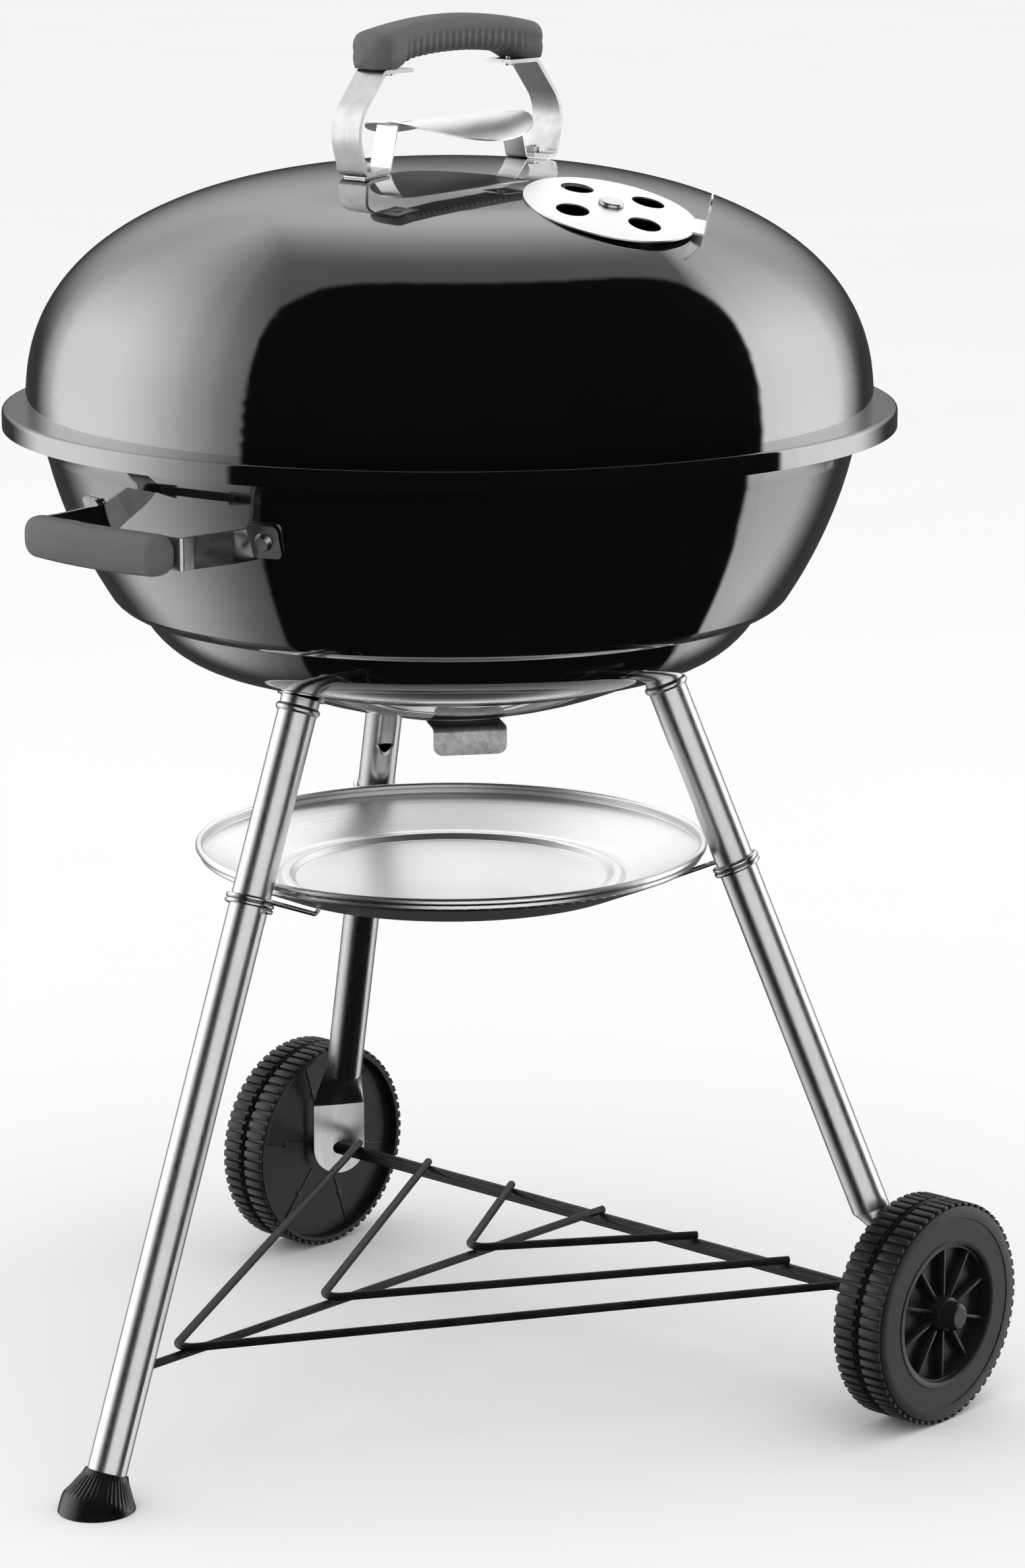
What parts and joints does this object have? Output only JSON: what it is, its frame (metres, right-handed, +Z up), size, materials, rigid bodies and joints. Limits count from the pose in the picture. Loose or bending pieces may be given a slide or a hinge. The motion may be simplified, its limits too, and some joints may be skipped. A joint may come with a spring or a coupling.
{
  "type": "kettle charcoal grill",
  "caption": "Round kettle charcoal grill with lift-off lid, turning air vents, grates, ash tray and a tripod stand with wheels.",
  "frame": {"origin": "middle of the footprint on the floor", "axes": "+Z up, the wheel axle along X, the foot leg and the bowl's handle towards -Y"},
  "size_m": [0.624, 0.6456, 0.9185],
  "materials": {
    "enamel": "high-gloss porcelain enamel",
    "leg": "satin plated tube",
    "plated_steel": "plated spring wire",
    "black_wire": "black-coated rod and wire",
    "strap": "satin steel strip",
    "fastener": "zinc-plated",
    "galvanised": "dull galvanised sheet",
    "aluminium": "satin sheet",
    "grate": "plated wire",
    "coal_grate": "bare steel wire",
    "grip": "heat-resistant plastic",
    "boot": "moulded plastic",
    "wheel": "moulded plastic",
    "cap": "moulded plastic"
  },
  "bodies": {
    "stand": {"bowl_shell": "enamel", "grate_brackets": "enamel", "bowl_handle_strap_left": "strap", "bowl_handle_strap_right": "strap", "bowl_handle_bolts": "fastener", "bowl_handle_nuts": "fastener", "bowl_handle_grip": "grip", "bowl_grip_screws": "fastener", "bottom_damper_rivet": "fastener", "front_leg": "leg", "right_wheel_leg": "leg", "left_wheel_leg": "leg", "foot_boot": "boot", "ash_tray": "aluminium", "tray_clip_front": "plated_steel", "tray_clip_right": "plated_steel", "tray_clip_left": "plated_steel", "axle": "black_wire", "hub_cap_left": "cap", "hub_cap_right": "cap", "rack_wire_center": "black_wire", "rack_wire_outer": "black_wire", "rack_wire_middle": "black_wire", "rack_wire_inner": "black_wire"},
    "lid": {"lid_shell": "enamel", "lid_handle_grip": "grip", "lid_handle_strap_front": "strap", "lid_handle_strap_rear": "strap", "lid_grip_screws": "fastener", "lid_handle_bolts": "fastener", "lid_handle_nuts": "fastener", "lid_heat_shield": "aluminium", "lid_damper_rivet": "fastener", "lid_hook": "fastener", "lid_hook_rivets": "fastener"},
    "top_vent": {"lid_damper": "aluminium"},
    "bottom_vent": {"bottom_damper": "galvanised"},
    "grill_grate": {"cooking_grate": "grate"},
    "coal_grate": {"charcoal_grate": "coal_grate"},
    "left_wheel": {"wheel_left": "wheel", "wheel_back_left": "wheel"},
    "right_wheel": {"wheel_right": "wheel", "wheel_back_right": "wheel"}
  },
  "joints": [
    {"name": "lid_lift", "type": "slide", "parent": "stand", "child": "lid", "axis": [0, 0, 1], "range_m": [0, 0.35]},
    {"name": "top_vent_turn", "type": "hinge", "parent": "lid", "child": "top_vent", "pos_m": [0.15117, 0.01714, 0.8066], "axis": [0.2771, -0.0291, 0.9604], "range_deg": [-45, 0]},
    {"name": "bottom_vent_turn", "type": "hinge", "parent": "stand", "child": "bottom_vent", "pos_m": [0, 0.03303, 0.464], "axis": [0, 0, 1], "range_deg": [-45, 45]},
    {"name": "cooking_grate_lift", "type": "slide", "parent": "stand", "child": "grill_grate", "axis": [0, 0, 1], "range_m": [0, 0.02]},
    {"name": "charcoal_grate_lift", "type": "slide", "parent": "stand", "child": "coal_grate", "axis": [0, 0, 1], "range_m": [0, 0.04]},
    {"name": "left_wheel_spin", "type": "hinge", "parent": "stand", "child": "left_wheel", "pos_m": [-0.28315, 0.18754, 0.075], "axis": [1, 0, 0], "continuous": true},
    {"name": "right_wheel_spin", "type": "hinge", "parent": "stand", "child": "right_wheel", "pos_m": [0.28315, 0.18754, 0.075], "axis": [1, 0, 0], "continuous": true}
  ]
}
